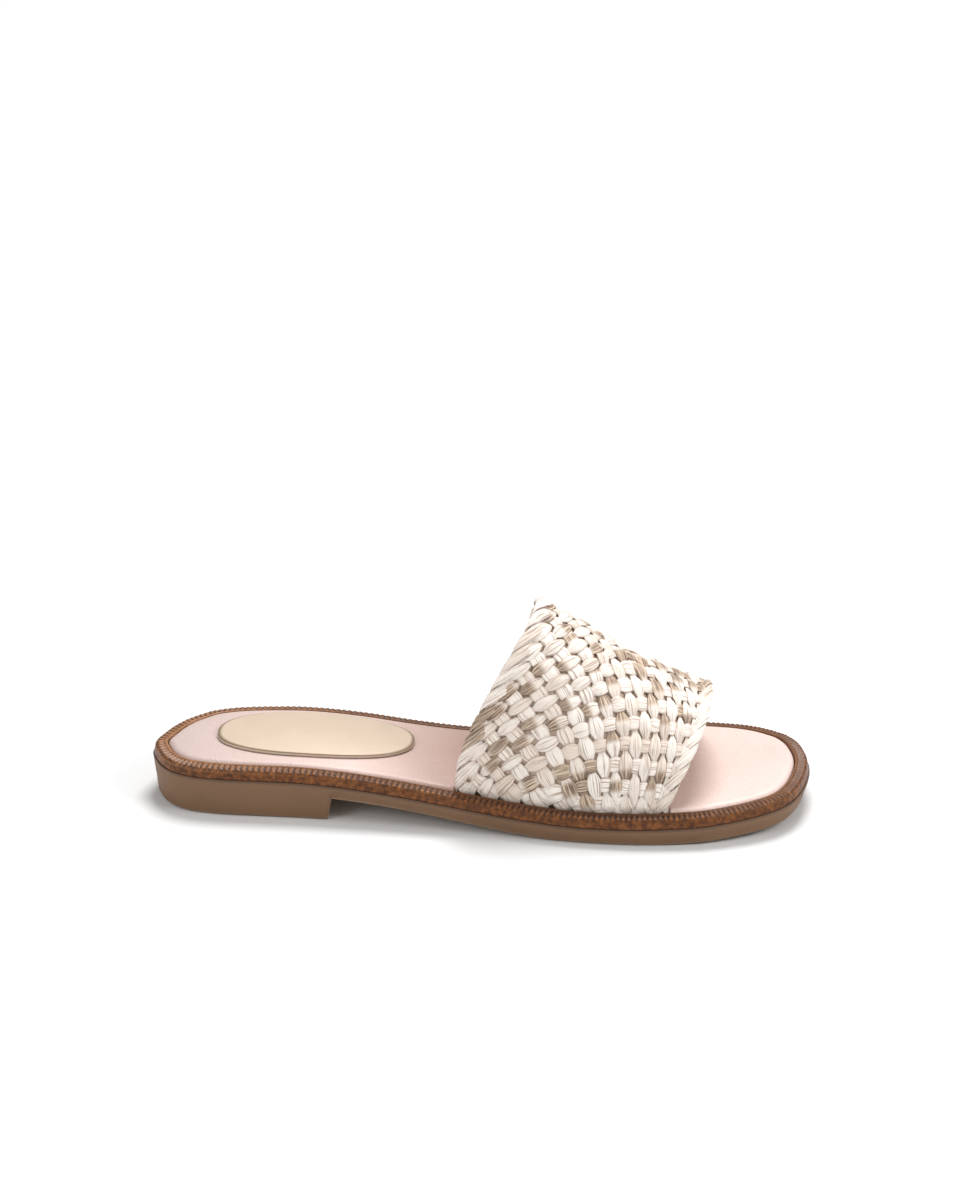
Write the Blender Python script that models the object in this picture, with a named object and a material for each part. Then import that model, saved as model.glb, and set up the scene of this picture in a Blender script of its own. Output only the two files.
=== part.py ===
# Flat slide sandal, right shoe: outsole with low heel, welt, footbed, heel patch and one woven upper band.
# Metres. +X runs to the toe, +Y to the medial side, +Z up, ground at z = 0.
import math

import bmesh
import bpy
import numpy as np

for old in list(bpy.data.objects):
    bpy.data.objects.remove(old, do_unlink=True)

# Driving sizes
LENGTH = 0.250          # heel back to toe tip of the outsole
BALL_WIDTH = 0.0885     # widest place of the outsole
HEEL_HEIGHT = 0.0155    # outsole top above the ground at the heel
FORE_THICK = 0.0074     # outsole at the toe
WAIST_THICK = 0.0062    # outsole in the arch
BALL_FLAT = 0.0004      # the ball is pressed flat on the ground by this much
TOE_SPRING = 0.0041     # rise of the tip
DRAFT = 0.0015          # how far the outsole side leans in
EDGE_ROUND = 0.0016     # rounded bottom edge of the outsole
LIP = 0.0005            # outsole top edge stands this far outside the welt
WELT_WIDTH = 0.0052
WELT_HEIGHT = 0.0041
WELT_RIDGE = 0.0004     # smooth inner ridge above the grooved top
FOOTBED_RISE = 0.0010   # footbed edge above the welt
FOOTBED_ROLL = 0.0030   # rolled edge of the footbed
FOOTBED_CROWN = 0.0014
PATCH_LENGTH = 0.0755
PATCH_WIDTH = 0.0370
PATCH_THICK = 0.0013
PATCH_FULL = 0.84       # 1 is an ellipse, less is fuller
WALL = 0.0020           # upper wall with its lining
STRIP_RISE = 0.0008     # raised strips of the weave
INSTEP_HEIGHT = 0.0660  # upper above the footbed at its rear edge
VAMP_HEIGHT = 0.0282    # the same at its front edge
STRANDS = 20            # strands along the band
CROSSINGS = 10          # strand steps a strand moves along the band on its way across
GAP = 0.0003            # air between neighbouring pieces

# Places along the sole, as shares of LENGTH
BREAST = 0.274
PATCH_AT = 0.248
FALL = (0.20, 0.67)             # the sole drops from heel to ball between these
WAIST = (0.36, 0.62)            # and thickens between these
SPRING_FROM = 0.69
CROWN_ENDS = (0.035, 0.965)     # the crown of the footbed dies out here
CROWN_RUN = 0.16                # and reaches its height over this
LATERAL_FOOT = (0.463, 0.792)   # rear and front edge of the upper on each side
MEDIAL_FOOT = (0.536, 0.812)

STEP = GAP                      # run of a near-upright step between two stations

# Sole outline: place along (share of LENGTH), lateral and medial edge (shares of BALL_WIDTH)
OUTLINE = (
    (0.000, -0.045, -0.045),
    (0.012, -0.160, 0.065),
    (0.024, -0.215, 0.135),
    (0.040, -0.260, 0.200),
    (0.060, -0.290, 0.255),
    (0.080, -0.307, 0.297),
    (0.120, -0.323, 0.335),
    (0.180, -0.330, 0.355),
    (0.240, -0.337, 0.357),
    (0.320, -0.357, 0.342),
    (0.400, -0.385, 0.322),
    (0.480, -0.420, 0.328),
    (0.560, -0.460, 0.380),
    (0.660, -0.500, 0.465),
    (0.748, -0.509, 0.487),
    (0.828, -0.488, 0.483),
    (0.860, -0.467, 0.472),
    (0.900, -0.425, 0.442),
    (0.928, -0.387, 0.405),
    (0.952, -0.343, 0.356),
    (0.972, -0.280, 0.300),
    (0.990, -0.160, 0.200),
    (1.000, 0.030, 0.030),
)

# Upper: share across the band (0 rear, 1 front), apex place (share of LENGTH), height (0 vamp, 1 instep),
# apex offset to the medial side (share of BALL_WIDTH), fullness of the sides and of the top
ARCH = (
    (0.00, 0.582, 1.00, 0.030, 0.38, 0.85),
    (0.25, 0.662, 0.69, 0.035, 0.32, 0.85),
    (0.50, 0.736, 0.36, 0.040, 0.26, 0.85),
    (0.75, 0.794, 0.17, 0.045, 0.20, 0.85),
    (1.00, 0.848, 0.00, 0.050, 0.14, 0.85),
)


def ease(t):
    t = min(max(t, 0.0), 1.0)
    return t * t * (3.0 - 2.0 * t)


def through(points, steps):
    """Smooth closed run of points through the given ones."""
    pts = np.array(points)
    n = len(pts)
    span = [np.linalg.norm(pts[(i + 1) % n] - pts[i]) for i in range(n)]
    slope = [(pts[(i + 1) % n] - pts[i - 1]) / (span[i] + span[i - 1]) for i in range(n)]
    out = []
    for i in range(n):
        p, q, a, b = pts[i], pts[(i + 1) % n], slope[i] * span[i], slope[(i + 1) % n] * span[i]
        for k in range(steps):
            t = k / steps
            out.append((2 * t**3 - 3 * t**2 + 1) * p + (t**3 - 2 * t**2 + t) * a
                       + (3 * t**2 - 2 * t**3) * q + (t**3 - t**2) * b)
    return np.array(out)


def half_outlines():
    """Lateral and medial half of the outline, heel to toe, with outward normals and run."""
    lateral = [(s, a) for s, a, _ in OUTLINE]
    medial = [(s, b) for s, _, b in OUTLINE[1:-1]]
    loop = through(lateral + medial[::-1], 24)
    low, high = loop.min(axis=0), loop.max(axis=0)
    loop = (loop - (low + high) / 2) / (high - low) * np.array([LENGTH, BALL_WIDTH])
    ahead = np.roll(loop, -1, axis=0) - np.roll(loop, 1, axis=0)
    normal = np.stack([ahead[:, 1], -ahead[:, 0]], axis=1)
    normal /= np.linalg.norm(normal, axis=1)[:, None]
    first = int(loop[:, 0].argmin())
    loop, normal = np.roll(loop, -first, axis=0), np.roll(normal, -first, axis=0)
    tip = int(loop[:, 0].argmax())
    back = [0] + list(range(len(loop) - 1, tip - 1, -1))
    halves = []
    for rows in (list(range(tip + 1)), back):
        pts, nrm = loop[rows], normal[rows]
        run = np.concatenate([[0.0], np.cumsum(np.linalg.norm(np.diff(pts, axis=0), axis=1))])
        halves.append((pts, nrm, run))
    return halves


HALVES = half_outlines()
SIDES = (LATERAL_FOOT, MEDIAL_FOOT)


def run_at(side, share):
    """Run along one half outline at a share of LENGTH."""
    pts, _, run = HALVES[side]
    return float(np.interp((share - 0.5) * LENGTH, pts[:, 0], run))


def at_run(side, run, inset):
    """Plan point and its station share, moved in from the outline."""
    pts, nrm, runs = HALVES[side]
    p = np.array([np.interp(run, runs, pts[:, k]) for k in (0, 1)])
    n = np.array([np.interp(run, runs, nrm[:, k]) for k in (0, 1)])
    return p - n / np.linalg.norm(n) * inset, p[0] / LENGTH + 0.5


def station_runs(side):
    """Stations of one half, with a pair of close ones at each upright step."""
    rear, front = (run_at(side, s) for s in SIDES[side])
    breast = run_at(side, BREAST)
    total = HALVES[side][2][-1]
    cuts = (0.0, breast, breast + STEP, rear - GAP - STEP, rear - GAP, front + GAP, front + GAP + STEP, total)
    counts = (15, 1, 7, 1, 14, 1, 13)
    out = [0.0]
    for a, b, n in zip(cuts, cuts[1:], counts):
        out += [a + (b - a) * (k + 1) / n for k in range(n)]
    return out


RUNS = [station_runs(0), station_runs(1)]
COUNT = len(RUNS[0])


def ring(inset):
    """Plan ring: lateral heel to toe, then medial toe to heel; inset may depend on side and run."""
    depth = inset if callable(inset) else (lambda side, run: inset)
    rows = [at_run(0, r, depth(0, r)) + (r, 0) for r in RUNS[0]]
    rows += [at_run(1, r, depth(1, r)) + (r, 1) for r in RUNS[1][-2:0:-1]]
    return rows


def sole_line(x):
    """Height of the outsole top along the shoe."""
    s = x / LENGTH + 0.5
    drop = ease((s - FALL[0]) / (FALL[1] - FALL[0]))
    lift = max(0.0, (s - SPRING_FROM) / (1.0 - SPRING_FROM))
    ball = FORE_THICK - BALL_FLAT
    return HEEL_HEIGHT + (ball - HEEL_HEIGHT) * drop + TOE_SPRING * lift**2


def sole_bottom(share, run, side):
    """Height of the outsole underside at a station."""
    if run <= run_at(side, BREAST) + STEP / 4:
        return 0.0
    x = (share - 0.5) * LENGTH
    thick = WAIST_THICK + (FORE_THICK - WAIST_THICK) * ease((share - WAIST[0]) / (WAIST[1] - WAIST[0]))
    return max(0.0, sole_line(x) - thick)


def new_object(name, bm, slot_colour, roughness, metallic=0.0):
    bmesh.ops.recalc_face_normals(bm, faces=bm.faces[:])
    if bm.calc_volume(signed=True) < 0:
        bmesh.ops.reverse_faces(bm, faces=bm.faces[:])
    mesh = bpy.data.meshes.new(name)
    bm.to_mesh(mesh)
    bm.free()
    obj = bpy.data.objects.new(name, mesh)
    bpy.context.scene.collection.objects.link(obj)
    mat = bpy.data.materials.new(name)
    mat.use_nodes = True
    shader = mat.node_tree.nodes["Principled BSDF"]
    shader.inputs["Base Color"].default_value = slot_colour + (1.0,)
    shader.inputs["Roughness"].default_value = roughness
    shader.inputs["Metallic"].default_value = metallic
    mesh.materials.append(mat)
    return obj


def places(inset, height):
    """Ring of places in space: plan from the inset, height from a rule of x, station share, run and side."""
    return [(p[0], p[1], height(p[0], share, run, side)) for p, share, run, side in ring(inset)]


def carry(bm, rings):
    """Start a circle at the first ring and extrude its edges to each next one; gives each ring's vertices."""
    loop = bmesh.ops.create_circle(bm, segments=len(rings[0]), radius=1.0)["verts"]
    edges = list({e for v in loop for e in v.link_edges})
    loops = []
    for k, row in enumerate(rings):
        if k:
            grown = bmesh.ops.extrude_edge_only(bm, edges=edges)["geom"]
            fresh = {g for g in grown if isinstance(g, bmesh.types.BMVert)}
            edges = [g for g in grown if isinstance(g, bmesh.types.BMEdge) and fresh.issuperset(g.verts)]
            loop = [next(e.other_vert(v) for e in v.link_edges if e.other_vert(v) in fresh) for v in loop]
        for v, co in zip(loop, row):
            v.co = co
        loops.append(loop)
    return loops


def close_across(bm, loop, columns, height=None):
    """Fill a ring with one face, split it between each pair of stations and shape the crossing rows."""
    n = len(loop)
    rim = {e for v in loop for e in v.link_edges if set(loop).issuperset(e.verts)}
    bmesh.ops.contextual_create(bm, geom=list(rim))
    rows = []
    for k in range(1, COUNT - 1):
        a, b = loop[k], loop[n - k]
        face = next(f for f in a.link_faces if b in f.verts)
        bmesh.utils.face_split(face, a, b)
        rows.append(next(e for e in a.link_edges if e.other_vert(a) is b))
    if columns > 1:
        made = bmesh.ops.subdivide_edges(bm, edges=rows, cuts=columns - 1, use_grid_fill=True,
                                         use_single_edge=True)
        rim_verts = set(loop)
        for v in {g for g in made["geom_inner"] if isinstance(g, bmesh.types.BMVert)} - rim_verts:
            if height:
                v.co.z = height(v.co.x, v.co.y)


# Outsole: flat heel block, arch, toe spring, side leaning in to a rounded bottom edge
def outsole():
    bm = bmesh.new()
    top = lambda drop: (lambda x, share, run, side: sole_line(x) - drop)
    low = lambda lift: (lambda x, share, run, side: sole_bottom(share, run, side) + lift)
    loops = carry(bm, [
        places(LIP, top(0.0)),
        places(0.0, top(LIP)),
        places(0.0, top(3 * LIP)),
        places(DRAFT, low(EDGE_ROUND)),
        places(DRAFT + 0.3 * EDGE_ROUND, low(0.3 * EDGE_ROUND)),
        places(DRAFT + EDGE_ROUND, low(0.0)),
    ])
    close_across(bm, loops[0], 1)
    close_across(bm, loops[-1], 1)
    return new_object("outsole", bm, (0.32, 0.21, 0.14), 0.6)


# Welt: storm welt with a rounded outer shoulder, flat top and a smooth inner ridge
WELT_INNER = LIP + WELT_WIDTH


def welt():
    bm = bmesh.new()
    w, h = WELT_WIDTH, WELT_HEIGHT
    profile = (
        (0.00 * w, GAP), (0.06 * w, 0.55 * h), (0.12 * w, 0.82 * h), (0.22 * w, 0.97 * h), (0.34 * w, h),
        (0.80 * w, h), (0.86 * w, h + WELT_RIDGE), (0.96 * w, h + WELT_RIDGE), (w, h), (w, GAP),
    )
    rule = lambda up: (lambda x, share, run, side: sole_line(x) + up)
    rings = [places(LIP + across, rule(up)) for across, up in profile]
    carry(bm, rings + rings[:1])
    bmesh.ops.remove_doubles(bm, verts=bm.verts[:], dist=GAP / 100)
    return new_object("welt", bm, (0.30, 0.14, 0.06), 0.45)


# Footbed: padded board inside the welt, cut back where the upper goes down between them
def footbed_edge(side, run):
    rear, front = (run_at(side, s) for s in SIDES[side])
    inside = rear - GAP - STEP / 4 <= run <= front + GAP + STEP / 4
    return WELT_INNER + GAP + (WALL + GAP if inside else 0.0)


def across_share(x, y):
    """Place across the footbed at x, -1 at the lateral roll and 1 at the medial one."""
    edge = WELT_INNER + GAP + FOOTBED_ROLL
    sides = [at_run(k, run_at(k, x / LENGTH + 0.5), edge)[0][1] for k in (0, 1)]
    return min(max((2 * y - sides[0] - sides[1]) / (sides[1] - sides[0]), -1.0), 1.0)


def footbed_top(x, y):
    s = x / LENGTH + 0.5
    ends = ease((s - CROWN_ENDS[0]) / CROWN_RUN) * ease((CROWN_ENDS[1] - s) / CROWN_RUN)
    return sole_line(x) + WELT_HEIGHT + FOOTBED_RISE + FOOTBED_CROWN * ends * (1.0 - across_share(x, y)**2)


def insole():
    bm = bmesh.new()
    h = WELT_HEIGHT + FOOTBED_RISE
    roll = FOOTBED_ROLL
    profile = ((0.0, GAP), (0.0, h - 0.62 * roll), (0.10 * roll, h - 0.36 * roll),
               (0.36 * roll, h - 0.12 * roll), (roll, h))
    rule = lambda up: (lambda x, share, run, side: sole_line(x) + up)
    loops = carry(bm, [places(lambda side, run, a=across: footbed_edge(side, run) + a, rule(up))
                       for across, up in profile])
    close_across(bm, loops[0], 1)
    close_across(bm, loops[-1], 8, footbed_top)
    return new_object("insole", bm, (0.80, 0.60, 0.54), 0.4)


# Heel patch: thin oval pad that follows the crown of the footbed
def heel_patch():
    bm = bmesh.new()
    count = 40
    cx = (PATCH_AT - 0.5) * LENGTH
    edge = [at_run(k, run_at(k, PATCH_AT), 0.0)[0][1] for k in (0, 1)]
    cy = sum(edge) / 2
    t = PATCH_THICK
    rows = ((0.5, 0.0), (0.8, 0.0), (1.0, 0.0), (1.0, 0.5 * t), (0.985, 0.8 * t), (0.95, t), (0.8, t), (0.5, t))
    rings = []
    for share, up in rows:
        rim = []
        for k in range(count):
            a = 2 * math.pi * k / count
            c, d = (math.copysign(abs(w)**PATCH_FULL, w) for w in (math.cos(a), math.sin(a)))
            x, y = cx + share * PATCH_LENGTH / 2 * c, cy + share * PATCH_WIDTH / 2 * d
            rim.append((x, y, footbed_top(x, y) + GAP + up))
        rings.append(rim)
    loops = carry(bm, rings)
    for loop, up in ((loops[0], 0.0), (loops[-1], t)):
        rim = {e for v in loop for e in v.link_edges if set(loop).issuperset(e.verts)}
        face = bmesh.ops.contextual_create(bm, geom=list(rim))["faces"]
        mid = bmesh.ops.poke(bm, faces=face)["verts"][0]
        mid.co = (cx, cy, footbed_top(cx, cy) + GAP + up)
    return new_object("heel_patch", bm, (0.62, 0.50, 0.32), 0.3, 0.8)


# Upper: one arched wall; its feet stand upright between footbed and welt
FOOT_INSET = WELT_INNER + GAP + WALL / 2
FOOT_RISE = WELT_HEIGHT + FOOTBED_RISE + GAP
SECTIONS = {}


def bezier(p, q, r, s, n):
    t = np.linspace(0.0, 1.0, n)[:, None]
    return (1 - t)**3 * p + 3 * (1 - t)**2 * t * q + 3 * (1 - t) * t * t * r + t**3 * s


def section(u):
    """Middle of the wall from the lateral foot over the top to the medial foot, with its run."""
    key = round(u, 5)
    if key in SECTIONS:
        return SECTIONS[key]
    place, high, aside, side_full, top_full = (
        np.interp(u, [r[0] for r in ARCH], [r[k] for r in ARCH]) for k in range(1, 6))
    feet = []
    for side, (rear, front) in enumerate(SIDES):
        run = run_at(side, rear) + u * (run_at(side, front) - run_at(side, rear))
        p, _ = at_run(side, run, FOOT_INSET)
        feet.append(np.array([p[0], p[1], sole_line(p[0]) + GAP]))
    ax = (place - 0.5) * LENGTH
    middle = (feet[0][1] + feet[1][1]) / 2
    top = sole_line(ax) + WELT_HEIGHT + FOOTBED_RISE
    apex = np.array([ax, middle + aside * BALL_WIDTH, top + VAMP_HEIGHT + (INSTEP_HEIGHT - VAMP_HEIGHT) * high])
    parts = []
    for foot in feet:
        knee = foot + np.array([0, 0, FOOT_RISE])
        rise = apex[2] - knee[2]
        shoulder = knee + np.array([0.0, 0.0, side_full * rise])
        crest = apex + np.array([0.0, (foot[1] - apex[1]) * top_full, 0.0])
        parts.append(np.vstack([[foot], bezier(knee, shoulder, crest, apex, 40)]))
    pts = np.vstack([parts[0], parts[1][-2::-1]])
    run = np.concatenate([[0.0], np.cumsum(np.linalg.norm(np.diff(pts, axis=0), axis=1))])
    SECTIONS[key] = (pts, run)
    return SECTIONS[key]


def on_band(u, v):
    """Point of the middle surface; v is the share of the run along the band."""
    u = min(max(u, 0.0), 1.0)
    pts, run = section(u)
    return np.array([np.interp(v * run[-1], run, pts[:, k]) for k in range(3)])


def band_point(u, v, out):
    """Point at a distance outside the middle surface."""
    e = 0.004
    du = on_band(u + e, v) - on_band(u - e, v)
    dv = on_band(u, min(v + e, 1.0)) - on_band(u, max(v - e, 0.0))
    n = np.cross(du, dv)
    n /= np.linalg.norm(n)
    return on_band(u, v) + n * out


SWEEP = 1.775           # how fast a strand turns from along the band to across it


def slide(u):
    """Strand steps moved along the band on the way from the rear edge to the place u."""
    return CROSSINGS * (1 - math.exp(-SWEEP * u)) / (1 - math.exp(-SWEEP))


def place_of(difference):
    """Share across the band where two strands with this index difference cross."""
    low, high = 0.0, 1.0
    for _ in range(40):
        mid = (low + high) / 2
        if slide(mid) - slide(1 - mid) < difference:
            low = mid
        else:
            high = mid
    return (low + high) / 2


def upper():
    bm = bmesh.new()
    reach = STRANDS + CROSSINGS
    grid = 2 * reach
    bmesh.ops.create_grid(bm, x_segments=grid, y_segments=grid, size=reach)
    half = CROSSINGS / 2
    for sign in (1, -1):
        bmesh.ops.bisect_plane(bm, geom=bm.verts[:] + bm.edges[:] + bm.faces[:], dist=1e-5,
                               plane_co=(sign * half, -sign * half, 0), plane_no=(sign, -sign, 0),
                               clear_outer=True)
    for v in bm.verts:
        i, j = v.co.x, v.co.y
        u = place_of(max(-CROSSINGS, min(CROSSINGS, i - j)))
        v.co = (j + slide(u), u, 0.0)
    for at, sign in ((0.0, -1), (float(STRANDS), 1)):
        for v in bm.verts:
            if abs(v.co.x - at) < 0.15:
                v.co.x = at
        bmesh.ops.bisect_plane(bm, geom=bm.verts[:] + bm.edges[:] + bm.faces[:], dist=1e-4,
                               plane_co=(at, 0, 0), plane_no=(sign, 0, 0), clear_outer=True)
    base = bm.faces[:]
    made = bmesh.ops.extrude_face_region(bm, geom=base, use_keep_orig=True)
    outer = [g for g in made["geom"] if isinstance(g, bmesh.types.BMFace)]
    for g in made["geom"]:
        if isinstance(g, bmesh.types.BMVert):
            g.co.z = WALL
    cells = [f for f in outer if all(1.05 < v.co.x < STRANDS - 1.05 for v in f.verts)]
    spots = {}
    for f in cells:
        corners = [(v.co.x - slide(1 - v.co.y), v.co.x - slide(v.co.y)) for v in f.verts]
        mi, mj = (sum(c[k] for c in corners) / len(corners) for k in (0, 1))
        over = (math.floor(mi) + math.floor(mj)) % 2
        ai, aj = (0.90, 0.62) if over else (0.62, 0.90)
        if len(corners) == 3:
            ai = aj = 0.72
        spots[f] = [(mi + (i - mi) * ai, mj + (j - mj) * aj) for i, j in corners]
    bmesh.ops.inset_individual(bm, faces=cells, thickness=0.02, use_even_offset=False)
    for f in cells:
        for v, (i, j) in zip(f.verts, spots[f]):
            u = place_of(max(-CROSSINGS, min(CROSSINGS, i - j)))
            v.co = (j + slide(u), u, WALL + STRIP_RISE)
    for v in bm.verts:
        v.co = band_point(v.co.y, v.co.x / STRANDS, v.co.z - WALL / 2)
    return new_object("upper", bm, (0.80, 0.74, 0.66), 0.55)


outsole()
welt()
insole()
heel_patch()
upper()
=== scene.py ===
# Flat woven slide sandal, right shoe, seen from its outer side with the toe to the right.
# Metres. +X runs to the toe, +Y to the medial side, +Z up, ground at z = 0.
import math

import bmesh
import bpy
import numpy as np
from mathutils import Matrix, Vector


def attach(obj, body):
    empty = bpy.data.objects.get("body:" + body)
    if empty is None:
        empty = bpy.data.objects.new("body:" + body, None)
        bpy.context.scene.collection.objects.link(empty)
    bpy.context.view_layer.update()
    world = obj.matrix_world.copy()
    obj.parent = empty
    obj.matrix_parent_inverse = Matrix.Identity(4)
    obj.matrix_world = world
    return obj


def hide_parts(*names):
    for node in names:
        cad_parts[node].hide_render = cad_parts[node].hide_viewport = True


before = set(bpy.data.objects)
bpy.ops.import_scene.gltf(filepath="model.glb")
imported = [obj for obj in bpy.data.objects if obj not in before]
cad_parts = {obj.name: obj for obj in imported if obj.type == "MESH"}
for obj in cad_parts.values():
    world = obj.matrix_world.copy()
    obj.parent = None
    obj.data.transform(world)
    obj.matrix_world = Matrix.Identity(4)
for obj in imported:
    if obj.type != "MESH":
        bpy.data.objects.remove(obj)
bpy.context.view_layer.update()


# Outsole. One moulded unit of tan rubber with a low heel block, a thin arch and a little toe spring. Its upper
# edge stands a hair outside the welt that is stitched and glued on it, and its lower edge is buffed round.
LENGTH = 0.250
BALL_WIDTH = 0.0885
HEEL_HEIGHT = 0.0155
FORE_THICK = 0.0074
WAIST_THICK = 0.0062
BALL_FLAT = 0.0004       # the ball is pressed flat on the floor by this much
TOE_SPRING = 0.0041
DRAFT = 0.0015           # the side leans in by this much towards the floor
EDGE_ROUND = 0.0016
LIP = 0.0005             # the outsole stands this far outside the welt
BREAST = 0.274           # share of the length where the heel block ends
BREAST_RUN = 0.0016      # the heel breast leans forward by this much
FALL = (0.20, 0.67)      # shares of the length where the sole falls from heel to ball
WAIST = (0.36, 0.62)     # shares of the length where the thin waist thickens to the forefoot
SPRING_FROM = 0.69       # share of the length where the toe starts to rise
SOLE_OUTLINE = (         # place along, lateral and medial edge, as shares of the length and the ball width
    (0.000, -0.045, -0.045), (0.012, -0.160, 0.065), (0.024, -0.215, 0.135), (0.040, -0.260, 0.200),
    (0.060, -0.290, 0.255), (0.080, -0.307, 0.297), (0.120, -0.323, 0.335), (0.180, -0.330, 0.355),
    (0.240, -0.337, 0.357), (0.320, -0.357, 0.342), (0.400, -0.385, 0.322), (0.480, -0.420, 0.328),
    (0.560, -0.460, 0.380), (0.660, -0.500, 0.465), (0.748, -0.509, 0.487), (0.828, -0.488, 0.483),
    (0.860, -0.467, 0.472), (0.900, -0.425, 0.442), (0.928, -0.387, 0.405), (0.952, -0.343, 0.356),
    (0.972, -0.280, 0.300), (0.990, -0.160, 0.200), (1.000, 0.030, 0.030),
)


def ease(t):
    t = min(max(t, 0.0), 1.0)
    return t * t * (3.0 - 2.0 * t)


def last_halves():
    """Lateral and medial half of the last's outline from heel to toe: points, outward normals and run."""
    corners = [(s, a) for s, a, _ in SOLE_OUTLINE] + [(s, b) for s, _, b in SOLE_OUTLINE[-2:0:-1]]
    pts = np.array(corners)
    n = len(pts)
    span = [np.linalg.norm(pts[(i + 1) % n] - pts[i]) for i in range(n)]
    slope = [(pts[(i + 1) % n] - pts[i - 1]) / (span[i] + span[i - 1]) for i in range(n)]
    loop = []
    for i in range(n):
        p, q, a, b = pts[i], pts[(i + 1) % n], slope[i] * span[i], slope[(i + 1) % n] * span[i]
        for t in np.arange(24) / 24:
            loop.append((2 * t**3 - 3 * t**2 + 1) * p + (t**3 - 2 * t**2 + t) * a
                        + (3 * t**2 - 2 * t**3) * q + (t**3 - t**2) * b)
    loop = np.array(loop)
    low, high = loop.min(axis=0), loop.max(axis=0)
    loop = (loop - (low + high) / 2) / (high - low) * np.array([LENGTH, BALL_WIDTH])
    ahead = np.roll(loop, -1, axis=0) - np.roll(loop, 1, axis=0)
    out = np.stack([ahead[:, 1], -ahead[:, 0]], axis=1)
    out /= np.linalg.norm(out, axis=1)[:, None]
    first = int(loop[:, 0].argmin())
    loop, out = np.roll(loop, -first, axis=0), np.roll(out, -first, axis=0)
    tip = int(loop[:, 0].argmax())
    halves = []
    for rows in (list(range(tip + 1)), [0] + list(range(len(loop) - 1, tip - 1, -1))):
        run = np.concatenate([[0.0], np.cumsum(np.linalg.norm(np.diff(loop[rows], axis=0), axis=1))])
        halves.append((loop[rows], out[rows], run))
    return halves


LAST = last_halves()


def run_at(side, share):
    pts, _, run = LAST[side]
    return float(np.interp((share - 0.5) * LENGTH, pts[:, 0], run))


def at_run(side, run, inset):
    """Plan point moved in from the outline, and its station as a share of the length."""
    pts, out, runs = LAST[side]
    p = np.array([np.interp(run, runs, pts[:, k]) for k in (0, 1)])
    n = np.array([np.interp(run, runs, out[:, k]) for k in (0, 1)])
    return p - n / np.linalg.norm(n) * inset, p[0] / LENGTH + 0.5


def sole_line(x):
    """Height of the outsole's top along the shoe."""
    s = x / LENGTH + 0.5
    drop = ease((s - FALL[0]) / (FALL[1] - FALL[0]))
    lift = max(0.0, (s - SPRING_FROM) / (1.0 - SPRING_FROM))
    return HEEL_HEIGHT + (FORE_THICK - BALL_FLAT - HEEL_HEIGHT) * drop + TOE_SPRING * lift**2


def all_round(halves):
    """Stations (side, run) round the shoe: heel to toe on the lateral side, and back on the medial side."""
    return [(0, run) for run in halves[0]] + [(1, run) for run in halves[1][-2:0:-1]]


def ring_places(stations, inset, height):
    """Ring round the shoe from (side, run) stations; inset and height are rules of x, share, run and side."""
    rows = []
    for side, run in stations:
        _, share = at_run(side, run, 0.0)
        p, _ = at_run(side, run, inset(share, run, side) if callable(inset) else inset)
        rows.append((p[0], p[1], height(p[0], share, run, side)))
    return rows


def carry(bm, rings):
    """Start a circle at the first ring and extrude its edges to each next one; gives each ring's vertices."""
    loop = bmesh.ops.create_circle(bm, segments=len(rings[0]), radius=1.0)["verts"]
    edges = list({e for v in loop for e in v.link_edges})
    loops = []
    for k, row in enumerate(rings):
        if k:
            grown = bmesh.ops.extrude_edge_only(bm, edges=edges)["geom"]
            fresh = {g for g in grown if isinstance(g, bmesh.types.BMVert)}
            edges = [g for g in grown if isinstance(g, bmesh.types.BMEdge) and fresh.issuperset(g.verts)]
            loop = [next(e.other_vert(v) for e in v.link_edges if e.other_vert(v) in fresh) for v in loop]
        for v, co in zip(loop, row):
            v.co = co
        loops.append(loop)
    return loops


def close_across(bm, loop, columns, height=None):
    """Fill a ring with one face, split it between each pair of stations and shape the crossing rows."""
    n, members = len(loop), set(loop)
    bmesh.ops.contextual_create(bm, geom=list({e for v in loop for e in v.link_edges if members.issuperset(e.verts)}))
    rows = []
    for k in range(1, n // 2):
        a, b = loop[k], loop[n - k]
        face = next(f for f in a.link_faces if b in f.verts)
        bmesh.utils.face_split(face, a, b)
        rows.append(next(e for e in a.link_edges if e.other_vert(a) is b))
    if columns > 1:
        made = bmesh.ops.subdivide_edges(bm, edges=rows, cuts=columns - 1, use_grid_fill=True, use_single_edge=True)
        for v in {g for g in made["geom_inner"] if isinstance(g, bmesh.types.BMVert)} - members:
            v.co.z = height(v.co.x, v.co.y)


def add_piece(name, bm, material, node=None, crease=40.0):
    """Turn a finished bmesh into a piece that rides on the shoe and may stand for a CAD node."""
    bmesh.ops.recalc_face_normals(bm, faces=bm.faces[:])
    if bm.calc_volume(signed=True) < 0:
        bmesh.ops.reverse_faces(bm, faces=bm.faces[:])
    for f in bm.faces:
        f.smooth = True
    for e in bm.edges:
        e.smooth = e.calc_face_angle(0.0) < math.radians(crease)
    mesh = bpy.data.meshes.new(name)
    bm.to_mesh(mesh)
    bm.free()
    mesh.materials.append(material)
    piece = bpy.data.objects.new(name, mesh)
    bpy.context.scene.collection.objects.link(piece)
    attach(piece, "root")
    if node:
        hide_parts(node)
    return piece


def tone(r, g, b):
    """Scene colour from a colour on screen, 0 to 255."""
    return tuple((c / 255 / 12.92) if c <= 10 else ((c / 255 + 0.055) / 1.055)**2.4 for c in (r, g, b)) + (1.0,)


def feed(tree, socket, value):
    """Link a socket to an input, or set the input's plain value."""
    if isinstance(value, bpy.types.NodeSocket):
        tree.links.new(value, socket)
    else:
        socket.default_value = value


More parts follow.
